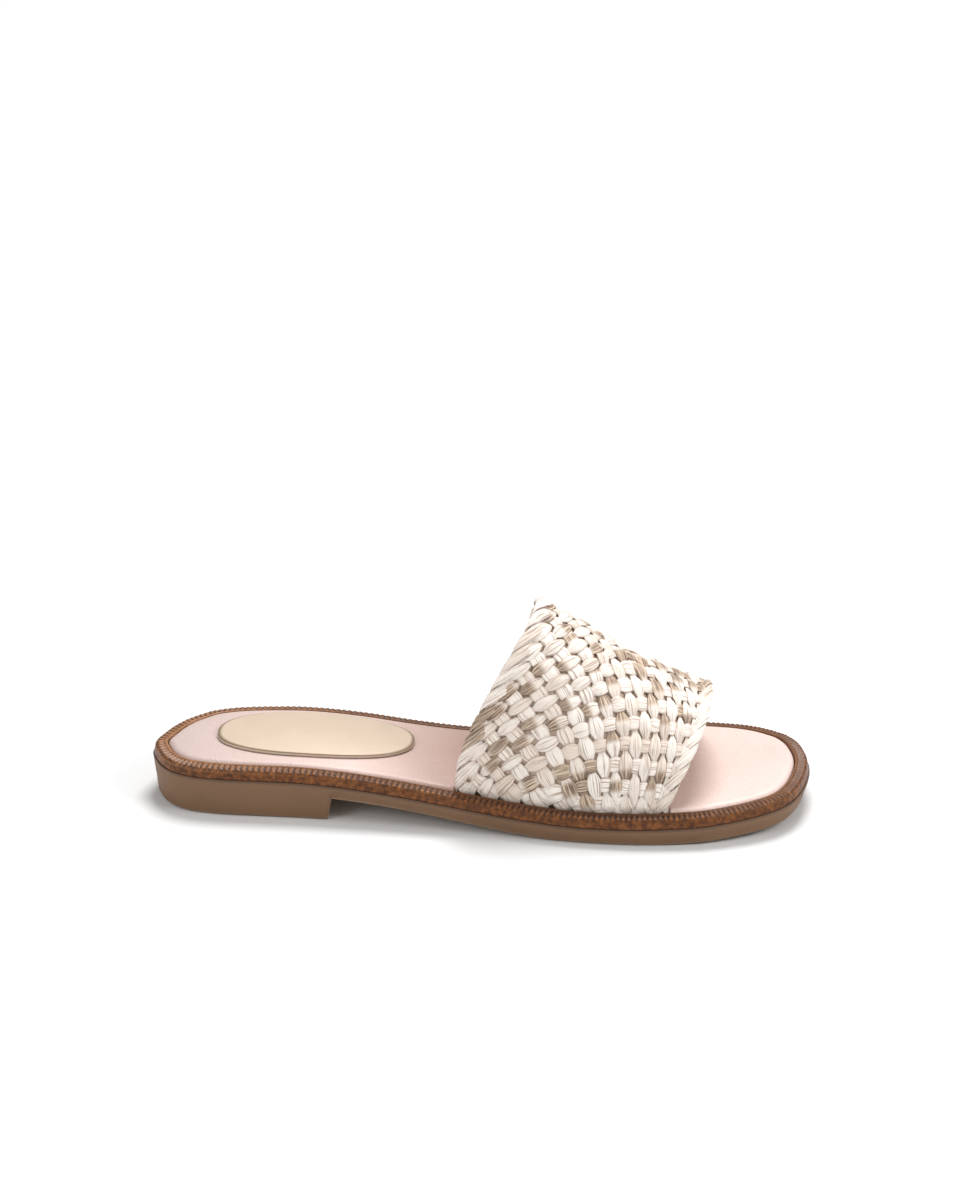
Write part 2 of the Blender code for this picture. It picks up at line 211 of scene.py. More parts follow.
def put(tree, kind, settings=None, **inputs):
    """Add a shader node; inputs go by name with _ for a space, or by number as i0, i1."""
    made = tree.nodes.new(kind)
    for key, value in (settings or {}).items():
        setattr(made, key, value)
    for key, value in inputs.items():
        numbered = key[0] == "i" and key[1:].isdigit()
        feed(tree, made.inputs[int(key[1:]) if numbered else key.replace("_", " ")], value)
    return made


def ramp(tree, value, stops):
    """Colours along a value: stops of place and colour."""
    made = put(tree, "ShaderNodeValToRGB", Fac=value)
    bands = made.color_ramp.elements
    for k, (at, colour) in enumerate(stops):
        band = bands[k] if k < 2 else bands.new(at)
        band.position, band.color = at, colour
    return made.outputs["Color"]


def mask(tree, value, stops):
    """Grey along a value: stops of place and strength."""
    return ramp(tree, value, [(at, (strength, strength, strength, 1.0)) for at, strength in stops])


def mix(tree, share, a, b, blend="MIX"):
    """Colour b laid over colour a by a share."""
    made = put(tree, "ShaderNodeMix", {"data_type": "RGBA", "blend_type": blend}, i0=share, i6=a, i7=b)
    return made.outputs[2]


def reckon(tree, what, a, b=0.0):
    return put(tree, "ShaderNodeMath", {"operation": what}, i0=a, i1=b).outputs[0]


def read_mark(tree, name):
    """A mark left on the mesh, such as a share across the section."""
    return put(tree, "ShaderNodeAttribute", {"attribute_name": name}).outputs["Fac"]


def own_place(tree):
    return put(tree, "ShaderNodeTexCoord").outputs["Object"]


def surface_grain():
    """Group: mottled colour, roughness and bump height of a fine grained surface."""
    group = bpy.data.node_groups.new("surface_grain", "ShaderNodeTree")
    face = group.interface
    colour, value = "NodeSocketColor", "NodeSocketFloat"
    for name, kind, start in (
        ("Colour", colour, (0.5, 0.5, 0.5, 1.0)), ("Dark", colour, (0.2, 0.2, 0.2, 1.0)), ("Mottle Scale", value, 60.0),
        ("Mottle", value, 0.2), ("Grain Scale", value, 900.0), ("Grain", value, 0.5), ("Rough", value, 0.5),
        ("Rough Spread", value, 0.1),
    ):
        face.new_socket(name, in_out="INPUT", socket_type=kind).default_value = start
    for name, kind in (("Colour", colour), ("Roughness", value), ("Height", value)):
        face.new_socket(name, in_out="OUTPUT", socket_type=kind)
    given, out = group.nodes.new("NodeGroupInput").outputs, group.nodes.new("NodeGroupOutput").inputs
    place, scale = own_place(group), given["Grain Scale"]
    cloud = put(group, "ShaderNodeTexNoise", Vector=place, Scale=given["Mottle Scale"], Detail=5.0).outputs["Fac"]
    pore = put(group, "ShaderNodeTexVoronoi", {"feature": "SMOOTH_F1"}, Vector=place, Scale=scale).outputs["Distance"]
    fine = put(group, "ShaderNodeTexNoise", Vector=place, Scale=scale, Detail=3.0).outputs["Fac"]
    patchy = reckon(group, "MULTIPLY", reckon(group, "SUBTRACT", cloud, 0.38), 3.2)
    speck = reckon(group, "MULTIPLY", reckon(group, "SUBTRACT", 0.62, fine), given["Grain"])
    share = reckon(group, "ADD", reckon(group, "MULTIPLY", patchy, given["Mottle"]), speck)
    uneven = reckon(group, "MULTIPLY", reckon(group, "SUBTRACT", fine, 0.5), given["Rough Spread"])
    share = put(group, "ShaderNodeClamp", Value=share).outputs[0]
    feed(group, out["Colour"], mix(group, share, given["Colour"], given["Dark"]))
    feed(group, out["Roughness"], reckon(group, "ADD", given["Rough"], uneven))
    feed(group, out["Height"], reckon(group, "MULTIPLY", reckon(group, "ADD", pore, fine), given["Grain"]))
    return group


GRAIN = surface_grain()


def start_finish(name):
    """New material: its node tree and its shader."""
    material = bpy.data.materials.new(name)
    material.use_nodes = True
    return material, material.node_tree, material.node_tree.nodes["Principled BSDF"]


def grained(tree, **inputs):
    return put(tree, "ShaderNodeGroup", {"node_tree": GRAIN}, **inputs).outputs


def finish(tree, shader, height, strength, distance, **inputs):
    """Give a shader its inputs, by name with _ for a space, and a bump of this height."""
    bump = put(tree, "ShaderNodeBump", Strength=strength, Distance=distance, Height=height)
    feed(tree, shader.inputs["Normal"], bump.outputs["Normal"])
    for key, value in inputs.items():
        feed(tree, shader.inputs[key.replace("_", " ")], value)


def tan_rubber():
    material, tree, shader = start_finish("tan_rubber")
    grain = grained(tree, Colour=tone(123, 92, 65), Dark=tone(98, 71, 48), Mottle_Scale=34.0, Mottle=0.30,
                    Grain_Scale=1500.0, Grain=0.45, Rough=0.62, Rough_Spread=0.16)
    up = read_mark(tree, "edge_share")
    # a thin dark line painted on the outsole just under its lip
    under_lip_line = mask(tree, up, [(0.0, 0.0), (0.90, 0.0), (0.97, 1.0)])
    buffed = mask(tree, up, [(0.0, 1.0), (0.10, 0.9), (0.22, 0.0)])
    colour = mix(tree, reckon(tree, "MULTIPLY", buffed, 0.45), grain["Colour"], tone(176, 152, 128))
    colour = mix(tree, reckon(tree, "MULTIPLY", under_lip_line, 0.75), colour, tone(66, 46, 34))
    finish(tree, shader, grain["Height"], 0.35, 0.0002, Base_Color=colour, Roughness=grain["Roughness"])
    return material


def sole_bottom(share, run, side):
    """Underside: flat heel block, a leaning breast, a thin arch, and the ball pressed flat."""
    x = (share - 0.5) * LENGTH
    thick = WAIST_THICK + (FORE_THICK - WAIST_THICK) * ease((share - WAIST[0]) / (WAIST[1] - WAIST[0]))
    past = (run - run_at(side, BREAST)) / BREAST_RUN
    return max(0.0, sole_line(x) - thick) * min(max(past, 0.0), 1.0)


def outsole():
    halves = []
    for side in (0, 1):
        breast, total = run_at(side, BREAST), LAST[side][2][-1]
        halves.append(np.concatenate([
            np.linspace(0.0, breast, 50), breast + BREAST_RUN * np.array([0.15, 0.5, 0.85, 1.0]),
            np.linspace(breast + BREAST_RUN, total, 121)[1:],
        ]))
    stations = all_round(halves)
    e = EDGE_ROUND
    top = lambda drop: (lambda x, share, run, side: sole_line(x) - drop)
    low = lambda lift: (lambda x, share, run, side: sole_bottom(share, run, side) + lift)
    between = lambda t: (lambda x, share, run, side:
                         (sole_bottom(share, run, side) + e) * (1 - t) + (sole_line(x) - 3 * LIP) * t)
    profile = [  # share up the edge, inset, height
        (1.0, LIP * 1.2, top(0.0)), (0.99, LIP * 0.3, top(0.0)), (0.96, 0.0, top(0.3 * LIP)),
        (0.93, 0.0, top(1.6 * LIP)), (0.90, 0.3 * LIP, top(2.2 * LIP)), (0.86, 0.3 * LIP, top(3 * LIP)),
        (0.62, DRAFT * 0.40, between(0.66)),
        (0.40, DRAFT * 0.75, between(0.33)), (0.22, DRAFT, low(e)), (0.17, DRAFT + 0.08 * e, low(0.62 * e)),
        (0.12, DRAFT + 0.30 * e, low(0.29 * e)), (0.06, DRAFT + 0.62 * e, low(0.08 * e)), (0.0, DRAFT + e, low(0.0)),
    ]
    bm = bmesh.new()
    share = bm.verts.layers.float.new("edge_share")
    loops = carry(bm, [ring_places(stations, inset, height) for _, inset, height in profile])
    for loop, (at, _, _) in zip(loops, profile):
        for v in loop:
            v[share] = at
    close_across(bm, loops[0], 1)
    close_across(bm, loops[-1], 1)
    return add_piece("rubber_outsole", bm, tan_rubber(), "outsole")


outsole()


# Welt. A strip of brown storm leather bent round the sole, wheeled with cross grooves on top, its outer shoulder
# rounded and burnished, its inner edge a smooth ridge against the footbed. It sits on the outsole's rim.
WELT_WIDTH = 0.0052
WELT_HEIGHT = 0.0041
WELT_RIDGE = 0.0004
GROOVE_PITCH = (0.0023, 0.0019)  # at the heel and at the toe
GROOVE_DEPTH = 0.00038
GROOVE_FORM = ((0.0, 0.0), (0.38, 0.15), (0.55, 1.0), (0.68, 1.0), (0.86, 0.15))  # share of a pitch, of the depth
SAME_PLACE = 2e-6        # points nearer than this are merged
WELT_REST = 0.0001       # the welt lies this far above the outsole's top
GAP = 0.0003             # glue line between pieces
WELT_INNER = LIP + WELT_WIDTH
# painted light and shade along the shoe starts and ends this far from its middle
PAINTED_LIGHT_RUN = 0.12         # tones that change along the shoe start and end this far from its middle


def painted_light_along(tree, place, colour, stops):
    """Painted light and shade: a colour darkened by a ramp from the heel to the toe."""
    along = put(tree, "ShaderNodeSeparateXYZ", Vector=place).outputs["X"]
    toward = put(tree, "ShaderNodeMapRange", Value=along, From_Min=-PAINTED_LIGHT_RUN, From_Max=PAINTED_LIGHT_RUN).outputs["Result"]
    return mix(tree, 1.0, colour, ramp(tree, toward, stops), "MULTIPLY")


def welt_leather():
    material, tree, shader = start_finish("welt_leather")
    grain = grained(tree, Colour=tone(160, 114, 80), Dark=tone(104, 64, 36), Mottle_Scale=240.0, Mottle=0.45,
                    Grain_Scale=2200.0, Grain=0.35, Rough=0.42, Rough_Spread=0.25)
    across, place = read_mark(tree, "across"), own_place(tree)
    smudge = put(tree, "ShaderNodeTexNoise", Vector=place, Scale=540.0, Detail=5.0, Roughness=0.75).outputs["Fac"]
    side = mask(tree, across, [(0.0, 1.0), (0.20, 1.0), (0.30, 0.0)])
    shoulder = mask(tree, across, [(0.20, 0.0), (0.34, 1.0), (0.44, 1.0), (0.56, 0.0)])
    burnt = ramp(tree, smudge, [(0.38, tone(148, 90, 40)), (0.50, tone(108, 62, 22)), (0.62, tone(60, 30, 8))])
    # painted light along the welt: lighter at the heel where it catches the light, darker towards the ball, a little
    # lighter again at the toe
    colour = painted_light_along(tree, place, grain["Colour"], [
        (0.0, (1, 1, 1, 1)), (0.32, tone(192, 180, 166)), (0.70, tone(150, 136, 120)), (1.0, tone(200, 188, 172))])
    colour = mix(tree, side, colour, mix(tree, 0.30, burnt, tone(84, 42, 12)))
    colour = mix(tree, reckon(tree, "MULTIPLY", shoulder, 0.9), colour, burnt)
    # painted shade: the grooves are darkened towards their bottoms, standing in for the shade in these recesses
    colour = mix(tree, reckon(tree, "MULTIPLY", read_mark(tree, "groove"), 0.95), colour, tone(52, 26, 10))
    finish(tree, shader, grain["Height"], 0.4, 0.00015, Base_Color=colour, Roughness=grain["Roughness"],
           Specular_IOR_Level=0.30, Coat_Weight=0.05, Coat_Roughness=0.3)
    return material


def welt():
    stations, depth = [], []
    for side in (0, 1):
        fine = np.linspace(0.0, LAST[side][2][-1], 800)
        share = np.array([at_run(side, r, 0.0)[1] for r in fine])
        pitch = GROOVE_PITCH[0] + (GROOVE_PITCH[1] - GROOVE_PITCH[0]) * share
        phase = np.concatenate([[0.0], np.cumsum(np.diff(fine) / ((pitch[1:] + pitch[:-1]) / 2))])
        count = round(phase[-1])
        phase *= count / phase[-1]
        part = [(side, float(np.interp(k + at, phase, fine)), form) for k in range(count) for at, form in GROOVE_FORM]
        part.append((side, float(fine[-1]), 0.0))
        rows = part if side == 0 else part[-2:0:-1]
        stations += [(s, r) for s, r, _ in rows]
        depth += [d for _, _, d in rows]
    w, h = WELT_WIDTH, WELT_HEIGHT
    profile = (  # share of the section from the outer foot, place across, height, share of the groove's depth
        (0.00, 0.00 * w, WELT_REST, 0.0), (0.05, -0.02 * w, 0.10 * h, 0.0), (0.12, 0.02 * w, 0.36 * h, 0.0),
        (0.22, 0.06 * w, 0.60 * h, 0.0), (0.30, 0.085 * w, 0.76 * h, 0.2), (0.36, 0.13 * w, 0.88 * h, 0.6),
        (0.42, 0.20 * w, 0.96 * h, 0.9), (0.48, 0.29 * w, h, 1.0), (0.60, 0.50 * w, h, 1.0), (0.72, 0.74 * w, h, 1.0),
        (0.76, 0.79 * w, h, 0.4), (0.80, 0.82 * w, h + 0.6 * WELT_RIDGE, 0.0), (0.84, 0.86 * w, h + WELT_RIDGE, 0.0),
        (0.88, 0.93 * w, h + WELT_RIDGE, 0.0), (0.92, 0.98 * w, h + 0.5 * WELT_RIDGE, 0.0), (0.96, w, 0.8 * h, 0.0),
        (0.98, w, WELT_REST, 0.0),
    )
    rings = []
    for at, inset, up, cut in profile:
        ring = ring_places(stations, LIP + inset, lambda x, share, run, side: sole_line(x) + up)
        rings.append([(x, y, z - d * cut * GROOVE_DEPTH) for (x, y, z), d in zip(ring, depth)])
    bm = bmesh.new()
    across, groove = bm.verts.layers.float.new("across"), bm.verts.layers.float.new("groove")
    for loop, (at, _, _, cut) in zip(carry(bm, rings + rings[:1]), profile + profile[:1]):
        for v, d in zip(loop, depth):
            v[across], v[groove] = at, d * cut
    bmesh.ops.remove_doubles(bm, verts=bm.verts[:], dist=SAME_PLACE)
    return add_piece("grooved_welt", bm, welt_leather(), "welt", crease=60.0)


welt()


# Footbed. A padded board covered in pearly pink leather, its edge rolled down inside the welt. It is cut back a
# little on both sides, where the upper goes down between it and the welt.
FOOTBED_RISE = 0.0010
FOOTBED_ROLL = 0.0030
FOOTBED_CROWN = 0.0014       # the pad's middle is this much higher than its edge
CROWN_ENDS = (0.035, 0.965)  # shares of the length where the crown starts and ends
CROWN_RUN = 0.16             # and the share over which it grows
WALL = 0.0020                # thickness of the upper's wall
FEET_OF_UPPER = ((0.463, 0.792), (0.536, 0.812))  # rear and front edge, on the lateral and the medial side


def footbed_edge(share, run, side):
    """Inset of the footbed's edge, deeper where a foot of the upper passes it."""
    rear, front = (run_at(side, s) for s in FEET_OF_UPPER[side])
    inside = min(max((run - rear + 2 * GAP) / (2 * GAP), 0.0), max((front + 2 * GAP - run) / (2 * GAP), 0.0), 1.0)
    return WELT_INNER + GAP + (WALL + GAP) * inside


def across_share(x, y):
    """Place across the footbed's face, from -1 at one side to 1 at the other."""
    edge = WELT_INNER + GAP + FOOTBED_ROLL
    sides = [at_run(k, run_at(k, x / LENGTH + 0.5), edge)[0][1] for k in (0, 1)]
    return min(max((2 * y - sides[0] - sides[1]) / (sides[1] - sides[0]), -1.0), 1.0)


def footbed_top(x, y):
    s = x / LENGTH + 0.5
    ends = ease((s - CROWN_ENDS[0]) / CROWN_RUN) * ease((CROWN_ENDS[1] - s) / CROWN_RUN)
    return sole_line(x) + WELT_HEIGHT + FOOTBED_RISE + FOOTBED_CROWN * ends * (1.0 - across_share(x, y)**2)


def footbed_leather():
    material, tree, shader = start_finish("footbed_leather")
    grain = grained(tree, Colour=tone(229, 209, 203), Dark=tone(188, 158, 149), Mottle_Scale=45.0, Mottle=0.10,
                    Grain_Scale=1500.0, Grain=0.80, Rough=0.48, Rough_Spread=0.20)
    # painted light and shade along the footbed: darker at the heel end, darkest at the waist as painted shade of the
    # upper, lighter near the patch and at the toe
    colour = painted_light_along(tree, own_place(tree), grain["Colour"], [
        (0.0, tone(208, 205, 202)), (0.30, tone(240, 232, 228)), (0.47, tone(189, 169, 159)),
        (0.72, tone(249, 243, 239))])
    finish(tree, shader, grain["Height"], 0.60, 0.00022, Base_Color=colour, Roughness=grain["Roughness"],
           Coat_Weight=0.08, Coat_Roughness=0.40, Sheen_Weight=0.12)
    return material


def footbed():
    halves = []
    for side in (0, 1):
        rear, front = (run_at(side, s) for s in FEET_OF_UPPER[side])
        total = LAST[side][2][-1]
        halves.append(np.concatenate([
            np.linspace(0.0, rear - 2 * GAP, 61), np.linspace(rear, front, 41),
            np.linspace(front + 2 * GAP, total, 51),
        ]))
    stations = all_round(halves)
    h, roll = WELT_HEIGHT + FOOTBED_RISE, FOOTBED_ROLL
    profile = (  # distance in from the edge, height
        (0.0, GAP), (0.0, h - 0.75 * roll), (0.03 * roll, h - 0.55 * roll), (0.12 * roll, h - 0.36 * roll),
        (0.28 * roll, h - 0.19 * roll), (0.50 * roll, h - 0.07 * roll), (0.76 * roll, h - 0.01 * roll), (roll, h),
    )
    rings = []
    for further, up in profile:
        inset = lambda share, run, side: footbed_edge(share, run, side) + further
        rings.append(ring_places(stations, inset, lambda x, share, run, side: sole_line(x) + up))
    bm = bmesh.new()
    loops = carry(bm, rings)
    close_across(bm, loops[0], 1)
    close_across(bm, loops[-1], 20, footbed_top)
    piece = add_piece("leather_footbed", bm, footbed_leather(), "insole")
    return piece


footbed()


# Heel patch. An oval of gold foiled leather on a thin pad, turned over its edge and glued on the heel of the
# footbed. The turned edge shows as a pale band between two painted dark lines, painted shade at its foot and a
# painted reflection along its rounded top edge. Its face is left bare.
PATCH_AT = 0.248
PATCH_LENGTH = 0.0755
PATCH_WIDTH = 0.0370
PATCH_THICK = 0.0013
PATCH_FULL = 0.84        # power of the oval's curve, 1 for a plain ellipse
PATCH_POINTS = 112


def gold_foil():
    material, tree, shader = start_finish("gold_foil")
    grain = grained(tree, Colour=tone(199, 180, 160), Dark=tone(187, 166, 144), Mottle_Scale=110.0, Mottle=0.30,
                    Grain_Scale=1300.0, Grain=0.25, Rough=0.46, Rough_Spread=0.12)
    # painted dark lines on the turned edge: painted shade at its foot on the footbed, a painted reflection along its
    # rounded top edge
    painted_rim_lines = mask(tree, read_mark(tree, "rim"), [
        (0.0, 1.0), (0.10, 0.9), (0.22, 0.0), (0.62, 0.0), (0.74, 1.0), (0.88, 0.8), (1.0, 0.0)])
    colour = mix(tree, reckon(tree, "MULTIPLY", painted_rim_lines, 0.85), grain["Colour"], tone(96, 68, 28))
    finish(tree, shader, grain["Height"], 0.20, 0.00012, Base_Color=colour, Roughness=grain["Roughness"],
           Metallic=0.20, Coat_Weight=0.10, Coat_Roughness=0.35)
    return material


def patch():
    t, cx = PATCH_THICK, (PATCH_AT - 0.5) * LENGTH
    cy = sum(at_run(k, run_at(k, PATCH_AT), 0.0)[0][1] for k in (0, 1)) / 2
    rows = (  # share of the oval, height, share of the rim
        (0.5, 0.0, 0.0), (0.8, 0.0, 0.0), (0.99, 0.0, 0.0), (1.0, 0.12 * t, 0.10), (0.998, 0.30 * t, 0.30),
        (0.998, 0.58 * t, 0.55), (0.994, 0.76 * t, 0.70), (0.986, 0.90 * t, 0.80), (0.972, 0.98 * t, 0.90),
        (0.95, t, 1.0), (0.90, 0.98 * t, 1.0), (0.78, t, 1.0), (0.60, t, 1.0), (0.40, t, 1.0), (0.20, t, 1.0),
    )
    rings = []
    for share, up, _ in rows:
        rim = []
        for k in range(PATCH_POINTS):
            a = 2 * math.pi * k / PATCH_POINTS
            c, d = (math.copysign(abs(w)**PATCH_FULL, w) for w in (math.cos(a), math.sin(a)))
            x, y = cx + share * PATCH_LENGTH / 2 * c, cy + share * PATCH_WIDTH / 2 * d
            rim.append((x, y, footbed_top(x, y) + GAP / 2 + up))
        rings.append(rim)
    bm = bmesh.new()
    mark = bm.verts.layers.float.new("rim")
    loops = carry(bm, rings)
    for loop, (_, _, at) in zip(loops, rows):
        for v in loop:
            v[mark] = at
    for loop, up, at in ((loops[0], 0.0, 0.0), (loops[-1], t, 1.0)):
        edges = {e for v in loop for e in v.link_edges if set(loop).issuperset(e.verts)}
        face = bmesh.ops.contextual_create(bm, geom=list(edges))["faces"]
        middle = bmesh.ops.poke(bm, faces=face)["verts"][0]
        middle.co = (cx, cy, footbed_top(cx, cy) + GAP / 2 + up)
        middle[mark] = at
    return add_piece("foiled_heel_patch", bm, gold_foil(), "heel_patch", crease=70.0)


patch()


# Upper. One wide band plaited by hand from folded strands of raffia in two slanting directions, each passing over
# one and under one. Both edges are finished with ends turned over to the inside, and a thin lining is glued behind.
INSTEP_HEIGHT = 0.0660
VAMP_HEIGHT = 0.0282
ARCH = (  # share across the band, apex place, height, apex to the medial side, fullness of the sides, of the top
    (0.00, 0.582, 1.00, 0.030, 0.38, 0.85),
    (0.25, 0.662, 0.69, 0.035, 0.32, 0.85),
    (0.50, 0.736, 0.36, 0.040, 0.26, 0.85),
    (0.75, 0.794, 0.17, 0.045, 0.20, 0.85),
    (1.00, 0.848, 0.00, 0.050, 0.14, 0.85),
)
FOOT_INSET = WELT_INNER + GAP + WALL / 2
FOOT_RISE = WELT_HEIGHT + FOOTBED_RISE + GAP
BAND_ROWS, BAND_COLUMNS = 121, 321
HALF_SECTION = 60       # points on each half of the band's section


def bezier(p, q, r, s, n):
    t = np.linspace(0.0, 1.0, n)[:, None]
    return (1 - t)**3 * p + 3 * (1 - t)**2 * t * q + 3 * (1 - t) * t * t * r + t**3 * s


def band_section(u):
    """Middle of the band from the lateral foot over the top to the medial foot, with its run and the apex's run."""
    shares = [row[0] for row in ARCH]
    place, high, aside, side_full, top_full = (np.interp(u, shares, [row[k] for row in ARCH]) for k in range(1, 6))
    feet = []
    for side, (rear, front) in enumerate(FEET_OF_UPPER):
        run = run_at(side, rear) + u * (run_at(side, front) - run_at(side, rear))
        p, _ = at_run(side, run, FOOT_INSET)
        feet.append(np.array([p[0], p[1], sole_line(p[0]) + GAP]))
    ax = (place - 0.5) * LENGTH
    top = sole_line(ax) + WELT_HEIGHT + FOOTBED_RISE + VAMP_HEIGHT + (INSTEP_HEIGHT - VAMP_HEIGHT) * high
    apex = np.array([ax, (feet[0][1] + feet[1][1]) / 2 + aside * BALL_WIDTH, top])
    parts = []
    for foot in feet:
        knee = foot + np.array([0, 0, FOOT_RISE])
        shoulder = knee + np.array([0.0, 0.0, side_full * (apex[2] - knee[2])])
        crest = apex + np.array([0.0, (foot[1] - apex[1]) * top_full, 0.0])
        parts.append(np.vstack([[foot], bezier(knee, shoulder, crest, apex, HALF_SECTION)]))
    pts = np.vstack([parts[0], parts[1][-2::-1]])
    run = np.concatenate([[0.0], np.cumsum(np.linalg.norm(np.diff(pts, axis=0), axis=1))])
    return pts, run, run[HALF_SECTION]


def band_surface():
    """Grid of the band's middle with its directions to the front and outward, and each row's length and apex."""
    middle = np.zeros((BAND_ROWS, BAND_COLUMNS, 3))
    length, apex = np.zeros(BAND_ROWS), np.zeros(BAND_ROWS)
    for k, u in enumerate(np.linspace(0, 1, BAND_ROWS)):
        pts, run, apex[k] = band_section(u)
        length[k] = run[-1]
        for m in range(3):
            middle[k, :, m] = np.interp(np.linspace(0, 1, BAND_COLUMNS) * run[-1], run, pts[:, m])
    fore = np.gradient(middle, axis=0)
    out = np.cross(fore, np.gradient(middle, axis=1))
    fore /= np.linalg.norm(fore, axis=2)[..., None]
    out /= np.linalg.norm(out, axis=2)[..., None]
    return middle, fore, out, length, apex


MIDDLE, FORE, OUT, BAND_LENGTH, BAND_APEX = band_surface()
BAND_WIDTH = 0.080      # about the width of the band, used for turns round its edges
EDGE_RADIUS = 0.0012
EDGE_LIFT = 0.0003
EDGE_IN = 0.014         # the turn round an edge starts this share inside it


def on_band(u, s, out):
    """Points on the band: u across it from rear to front, s the run from its apex, out the height above its
    middle. Past either edge the point goes round the edge to the inside."""
    inside = np.clip(u, EDGE_IN, 1.0 - EDGE_IN)
    rows = np.linspace(0, 1, BAND_ROWS)
    v = (s + np.interp(inside, rows, BAND_APEX)) / np.interp(inside, rows, BAND_LENGTH)
    a, b = inside * (BAND_ROWS - 1), np.clip(v, 0.0, 1.0) * (BAND_COLUMNS - 1)
    i, j = np.minimum(a.astype(int), BAND_ROWS - 2), np.minimum(b.astype(int), BAND_COLUMNS - 2)
    fa, fb = (a - i)[:, None], (b - j)[:, None]
    at = lambda grid: (grid[i, j] * (1 - fa) * (1 - fb) + grid[i + 1, j] * fa * (1 - fb)
                       + grid[i, j + 1] * (1 - fa) * fb + grid[i + 1, j + 1] * fa * fb)
    past = (u - inside) * BAND_WIDTH
    turn = np.clip(np.abs(past) / EDGE_RADIUS, 0.0, math.pi)
    beyond = np.maximum(np.abs(past) - math.pi * EDGE_RADIUS, 0.0)
    away = np.sign(past)[:, None] * at(FORE)
    lift, normal = np.asarray(out)[:, None], at(OUT)
    turned = turn[:, None]
    centre = at(MIDDLE) + normal * EDGE_LIFT
    reach = lift - EDGE_LIFT
    point = centre + normal * reach * np.cos(turned) + away * reach * np.sin(turned)
    return point - away * beyond[:, None]


ROW_PITCH = 0.0086      # strand to strand along the band
ROW_SHIFT = -0.284      # moves all rows along the band, in rows
COLUMNS = 22.5          # crossings from the rear to the front edge
TURN_AT, TURN_SOFT = 10.25, 4.0   # column where steep strands become flat ones, and how gently
BOW_FROM = 0.046        # run from the apex where the columns start to bow


def ease_all(t):
    t = np.clip(t, 0.0, 1.0)
    return t * t * (3.0 - 2.0 * t)


def column_place(d):
    """Share across the band of a column of crossings."""
    return d / COLUMNS - 0.038 * np.sin(2 * np.pi * d / COLUMNS) - 0.009 * np.sin(np.pi * d / COLUMNS)


def climb(d):
    """Rows climbed by a rising strand on its way to a column: steep at the rear, flat at the front."""
    return 0.45 * d - 0.40 * TURN_SOFT * np.log(np.cosh((d - TURN_AT) / TURN_SOFT))


def lean(u, s):
    """The columns bow a little to the rear towards the top of the foot."""
    return 1.9 * (np.abs(s) - BOW_FROM) * np.sin(np.pi * np.clip(u, 0, 1))**2 * ease_all((u - 0.2) / 0.3)


STRAND_SECTION = 24     # points round a strand
STATIONS = 7            # stations from one crossing to the next
STRAND_THICK = 0.00112
WAVE = 0.00058          # a strand's middle moves this far out and in
LIFT = 0.00044          # the weave's middle outside the band's middle
STRAND_WIDEST = 0.0042  # greatest half distance to the next strand
STRAND_MARKS = ("across", "along", "dye", "tint", "foot")
FOLD_DEPTH = 0.13       # of half a strand's thickness
FOLD_SWAY = 700.0       # how quickly the folds sway along a strand, in radians to the metre
RISING, FALLING = 0, 1


def strand_path(family, index, d, wander=0.0):
    """Share across, run and wave phase of one strand at columns d."""
    rows = index + climb(d) + ROW_SHIFT + wander if family == RISING else index + climb(d) - d + ROW_SHIFT + wander
    s = rows * ROW_PITCH
    u = column_place(d)
    return u + lean(u, s), s, np.cos(np.pi * d) * (1 if family == RISING else -1)


def hand_spread(seed, d, amount):
    """Small unevenness along a strand, as from laying it by hand."""
    knots = np.random.default_rng(seed).uniform(-amount, amount, 26)
    return np.interp(d, np.arange(-1, 25), knots)


def steepness(family, d):
    """1 where a strand runs steeply along the band and shows as a long pointed float, 0 where it crosses flat."""
    rising = 0.5 - 0.5 * np.tanh((d - TURN_AT) / TURN_SOFT)
    return rising if family == RISING else 1.0 - rising


